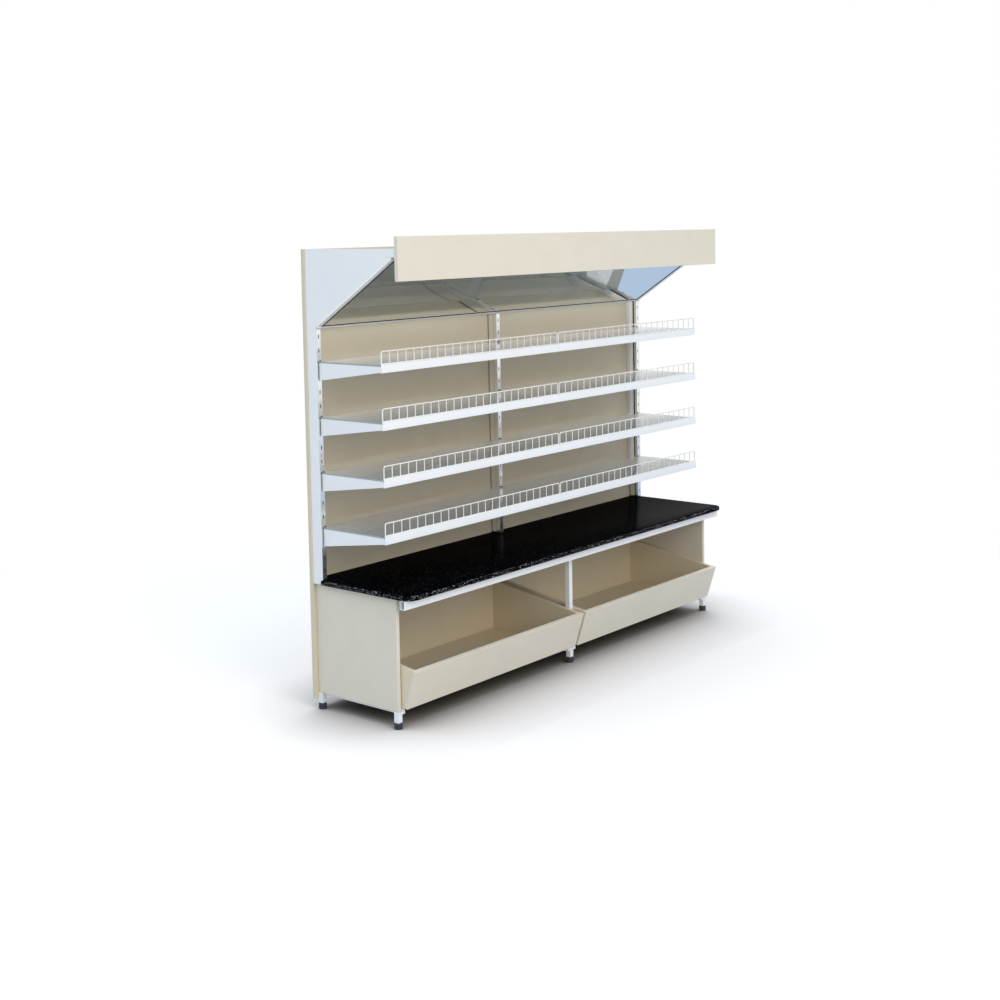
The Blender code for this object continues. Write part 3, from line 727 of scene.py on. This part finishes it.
# %% [markdown]
# ## Feet
# Each foot is a moulded disc on a threaded stem, which screws into the leg to level the unit. Both are
# turned shapes: the disc is a profile spun round the axis, and the stem's radius also rises and falls with
# the turn, which makes the thread. They ride together on the foot's own body, so they screw down together.

# %% Feet
FOOT_TURN_STEPS = 48
FOOT_PROFILE_MM = [
    (12.2, 0.0), (13.4, 0.3), (14.4, 1.1), (14.9, 2.2), (15.0, 3.2), (15.0, 7.6), (14.8, 8.0), (14.2, 8.2),
    (14.2, 9.0), (14.8, 9.2), (15.0, 9.6), (15.0, 18.2), (14.8, 19.6), (14.1, 20.9), (12.9, 21.8),
    (11.6, 22.0), (6.0, 22.0), (4.2, 21.9),
]
STEM_R, STEM_SINK = 0.005, 0.0006  # the stem starts a little inside the disc
THREAD_PITCH = 0.0015
THREAD_DEPTH = 0.0008
THREAD_STEPS = 24
RINGS_PER_THREAD = 6
SPANGLE_MM = 2.5

zinc, tree, shader = new_finish(
    "zinc plated steel", Base_Color=linear("#b9bcc0"), Metallic=1.0, Roughness=0.3
)
place = add_node(tree, "ShaderNodeTexCoord").outputs["Object"]
bloom = add_node(tree, "ShaderNodeTexNoise", {"Vector": place, "Scale": 1000 / SPANGLE_MM, "Detail": 2.0})
gloss = add_node(
    tree, "ShaderNodeMapRange", {"Value": bloom.outputs["Fac"], "To Min": 0.22, "To Max": 0.42}
)
tree.links.new(gloss.outputs["Result"], shader.inputs["Roughness"])


def turned(centre, radii, heights, steps):
    """A turned shape: (r cos a, r sin a, z) for each ring; radii may also change with the angle a."""
    a = np.linspace(0, 2 * math.pi, steps, endpoint=False)[None]
    r = np.broadcast_to(radii, (len(heights), steps))
    z = np.broadcast_to(np.asarray(heights)[:, None], r.shape)
    points = np.stack([r * np.cos(a), r * np.sin(a), z], axis=-1) + np.asarray(centre)
    last = (len(heights) - 1) * steps
    faces = grid_faces(len(heights), steps)
    faces += [list(range(steps))[::-1], list(range(last, last + steps))]
    return points.reshape(-1, 3), faces


profile = np.array(FOOT_PROFILE_MM) / 1000
for row in ("front", "rear"):
    for column in ("left", "middle", "right"):
        node = f"foot_{row}_{column}"
        low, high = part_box(node)
        centre = ((low.x + high.x) / 2, (low.y + high.y) / 2, low.z)
        disc = turned(centre, profile[:, :1], profile[:, 1], FOOT_TURN_STEPS)
        put(f"disc_{node}", disc, foot_plastic, f"{node}_body", [node])
        stem_z0, stem_z1 = profile[-1, 1] - STEM_SINK, high.z - low.z
        rings = int((stem_z1 - stem_z0) / THREAD_PITCH * RINGS_PER_THREAD)
        z = np.linspace(stem_z0, stem_z1, rings)
        a = np.arange(THREAD_STEPS) / THREAD_STEPS
        wave = np.abs((z[:, None] / THREAD_PITCH - a[None]) % 1.0 * 2 - 1)
        stem = turned(centre, STEM_R - THREAD_DEPTH * wave, z, THREAD_STEPS)
        put(f"stem_{node}", stem, zinc, f"{node}_body", sharp_deg=60)
print("feet", 6, "with", rings, "thread rings each")

# %% [markdown]
# ## Mirror trim
# A slim white rail holds the foot of each mirror, and a flat white flange covers its slanting end. A dark
# gasket lies between them and the glass. Each is a small rounded section carried along the edge of the
# glass.

# %% Mirror trim
RAIL_DROP, RAIL_T = 0.005, 0.003
GASKET_W, SLANT_GASKET_W, GASKET_PROUD = 0.005, 0.009, 0.001
FLANGE_W, FLANGE_T = 0.020, 0.0008
TRIM_OFF = 0.0002  # between a strip and the glass

facing_down = [face for face in nodes["mirror_left"].data.polygons if face.normal.z < -0.5]
face_down = max(facing_down, key=lambda face: face.area).normal.copy()
up_slope = Vector((0.0, face_down.z, -face_down.y))


def strip(start, end, wide_way, proud_way, wide, proud):
    """A bar from start to end: a rounded rectangle, so wide along one way and so proud along the other."""
    section = rectangle(0, wide, 0, proud)
    offsets = section[:, :1] * np.asarray(wide_way)[None] + section[:, 1:] * np.asarray(proud_way)[None]
    points = np.concatenate([np.asarray(start) + offsets, np.asarray(end) + offsets])
    faces = bar_faces(len(section))
    if Vector(wide_way).cross(Vector(proud_way)).dot(Vector(end) - Vector(start)) < 0:
        faces = [face[::-1] for face in faces]
    return points, faces


for side, sign in (("left", -1), ("right", 1)):
    low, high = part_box(f"mirror_{side}")
    outer_x = low.x if sign < 0 else high.x
    inner_x = high.x if sign < 0 else low.x
    corners = [v.co for v in nodes[f"mirror_{side}"].data.vertices]
    plane = max(corner.dot(face_down) for corner in corners)
    lower = [corner for corner in corners if plane - corner.dot(face_down) < TRIM_OFF]
    foot = min(lower, key=lambda corner: corner.z) + face_down * TRIM_OFF
    head = max(lower, key=lambda corner: corner.z) + face_down * TRIM_OFF
    ends = (inner_x, foot.y, foot.z), (outer_x, foot.y, foot.z)
    rail = strip(*ends, up_slope, face_down, RAIL_T, RAIL_DROP)
    put(f"mirror_rail_{side}", rail, powder_coat)
    ends = [Vector(end) + up_slope * (RAIL_T + TRIM_OFF) for end in ends]
    covered = Vector((sign * FLANGE_W, 0, 0))
    bottom = strip(ends[0], ends[1] - covered, up_slope, face_down, GASKET_W, GASKET_PROUD)
    slope = ends[1], Vector((outer_x, head.y, head.z))
    inward = Vector((-sign, 0, 0))
    flange = strip(*slope, inward, face_down, FLANGE_W, FLANGE_T)
    put(f"mirror_flange_{side}", flange, powder_coat)
    slope = [end + inward * (FLANGE_W + TRIM_OFF) for end in slope]
    slant = strip(*slope, inward, face_down, SLANT_GASKET_W, GASKET_PROUD)
    put(f"mirror_gasket_{side}", merge([bottom, slant]), rubber)
print("trim along a slope of", round(math.degrees(math.asin(up_slope.z)), 2), "degrees")

# %% [markdown]
# ## Floor
# The unit stands on a pale studio floor that runs out into a white backdrop. The camera sees it almost
# white, also through the glass, and near the unit an occlusion node darkens it: the less open sky a point
# has within reach, the darker it is, which gives the deep contact shadow under the base. Mirrors see it a
# cool grey near by and white far away, and for the light that it throws back it is a plain light grey.

# %% Floor
FLOOR_HALF = 40.0
FLOOR_DROP = 0.0002  # below the feet, so that the two don't share a face
FLOOR_GREY = linear("#c4c4c4")  # what the floor throws back on the unit
FLOOR_PALE = linear("#fbf4ee")  # what the camera sees
FLOOR_DARK = linear("#262626")  # where no sky is open to it
FLOOR_IN_MIRRORS = linear("#b3bfcd")
SHADE_REACH = 0.38
FADE_SEEN = 1.7, 3.2  # metres from the unit's middle over which the floor turns into the white backdrop
FADE_MIRRORED = 4.0, 9.0

floor_finish = bpy.data.materials.new("pale studio floor")
floor_finish.use_nodes = True
tree = floor_finish.node_tree
tree.nodes.clear()
rays = add_node(tree, "ShaderNodeLightPath").outputs
seen = add_node(
    tree, "ShaderNodeMath", {0: rays["Is Camera Ray"], 1: rays["Is Transmission Ray"]}, operation="MAXIMUM"
).outputs["Value"]
open_sky = add_node(tree, "ShaderNodeAmbientOcclusion", {"Distance": SHADE_REACH}, samples=16)
shaded = add_node(
    tree,
    "ShaderNodeMix",
    {0: open_sky.outputs["AO"], MIX_A: FLOOR_DARK, MIX_B: FLOOR_PALE},
    data_type="RGBA",
)
mirrored = add_node(
    tree,
    "ShaderNodeMix",
    {0: rays["Is Glossy Ray"], MIX_A: FLOOR_GREY, MIX_B: FLOOR_IN_MIRRORS},
    data_type="RGBA",
)
tone = add_node(
    tree,
    "ShaderNodeMix",
    {0: seen, MIX_A: mirrored.outputs[MIX_OUT], MIX_B: shaded.outputs[MIX_OUT]},
    data_type="RGBA",
)
matt = add_node(tree, "ShaderNodeBsdfDiffuse", {"Color": tone.outputs[MIX_OUT]})
white = add_node(tree, "ShaderNodeEmission", {"Color": WHITE, "Strength": 1.0})
place = add_node(tree, "ShaderNodeTexCoord").outputs["Object"]
distance = add_node(tree, "ShaderNodeVectorMath", {0: place}, operation="LENGTH").outputs["Value"]
surface = matt.outputs["BSDF"]
for (near, far), ray in ((FADE_SEEN, seen), (FADE_MIRRORED, rays["Is Glossy Ray"])):
    fade = add_node(
        tree,
        "ShaderNodeMapRange",
        {"Value": distance, "From Min": near, "From Max": far},
        interpolation_type="SMOOTHSTEP",
    )
    share = add_node(tree, "ShaderNodeMath", {0: fade.outputs["Result"], 1: ray}, operation="MULTIPLY")
    surface = add_node(
        tree, "ShaderNodeMixShader", {0: share.outputs["Value"], 1: surface, 2: white.outputs["Emission"]}
    ).outputs["Shader"]
add_node(tree, "ShaderNodeOutputMaterial", {"Surface": surface})
corners = np.array([(-1, -1), (1, -1), (1, 1), (-1, 1)]) * FLOOR_HALF
floor_mesh = bpy.data.meshes.new("studio floor")
floor_mesh.from_pydata([(x, y, -FLOOR_DROP) for x, y in corners], [], [(0, 1, 2, 3)])
floor_mesh.materials.append(floor_finish)
floor = bpy.data.objects.new("studio_floor", floor_mesh)
bpy.context.scene.collection.objects.link(floor)
floor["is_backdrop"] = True
print("floor", 2 * FLOOR_HALF, "m, shade within", SHADE_REACH, "m")

# %% [markdown]
# ## Light
# A cool sky, stronger overhead than at the horizon, lights everything softly. One wide, warmer lamp stands
# in front, a little to the left, so that the fronts are the brightest and the shelves shade the boards
# behind them. The camera, the glass and the metal see a plain white backdrop in place of the sky.

# %% Light
SKY = linear("#e6f2ff")
SKY_LOW, SKY_HIGH = 0.58, 1.68  # strength at the horizon and overhead
LAMP_WATTS = 88
LAMP_COLOUR = linear("#ffeddc")
LAMP_WIDTH = 3.0
LAMP_PLACE = Vector((-2.0, -4.8, 2.6))
LAMP_AIM = Vector((0.0, 0.0, 0.8))

world = bpy.data.worlds.new("studio sky")
world.use_nodes = True
bpy.context.scene.world = world
tree = world.node_tree
tree.nodes.clear()
rays = add_node(tree, "ShaderNodeLightPath").outputs
seen = rays["Is Camera Ray"]
for ray in ("Is Glossy Ray", "Is Transmission Ray"):
    seen = add_node(tree, "ShaderNodeMath", {0: seen, 1: rays[ray]}, operation="MAXIMUM").outputs["Value"]
way = add_node(tree, "ShaderNodeTexCoord").outputs["Generated"]
rise = add_node(tree, "ShaderNodeSeparateXYZ", {"Vector": way})
overcast = add_node(
    tree, "ShaderNodeMapRange", {"Value": rise.outputs["Z"], "To Min": SKY_LOW, "To Max": SKY_HIGH}
)
sky_light = add_node(
    tree, "ShaderNodeBackground", {"Color": SKY, "Strength": overcast.outputs["Result"]}
)
backdrop = add_node(tree, "ShaderNodeBackground", {"Color": WHITE, "Strength": 1.0})
both = add_node(
    tree,
    "ShaderNodeMixShader",
    {0: seen, 1: sky_light.outputs["Background"], 2: backdrop.outputs["Background"]},
)
add_node(tree, "ShaderNodeOutputWorld", {"Surface": both.outputs["Shader"]})

lamp_data = bpy.data.lights.new("front lamp", "AREA")
lamp_data.shape = "DISK"
lamp_data.size = LAMP_WIDTH
lamp_data.energy = LAMP_WATTS
lamp_data.color = LAMP_COLOUR[:3]
lamp = bpy.data.objects.new("front lamp", lamp_data)
lamp.location = LAMP_PLACE
lamp.rotation_euler = (LAMP_AIM - LAMP_PLACE).to_track_quat("-Z", "Y").to_euler()
bpy.context.scene.collection.objects.link(lamp)
bpy.context.scene.view_settings.view_transform = "Standard"
print("lamp", LAMP_WATTS, "W, sky", SKY_LOW, "to", SKY_HIGH)

# %% [markdown]
# ## Size
# The box round the finished look, leaving out the floor, is printed. The finished look must stay
# inside the solids' box.

# %% Size
low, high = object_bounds()
print("visual box", [round(v, 4) for v in high - low])
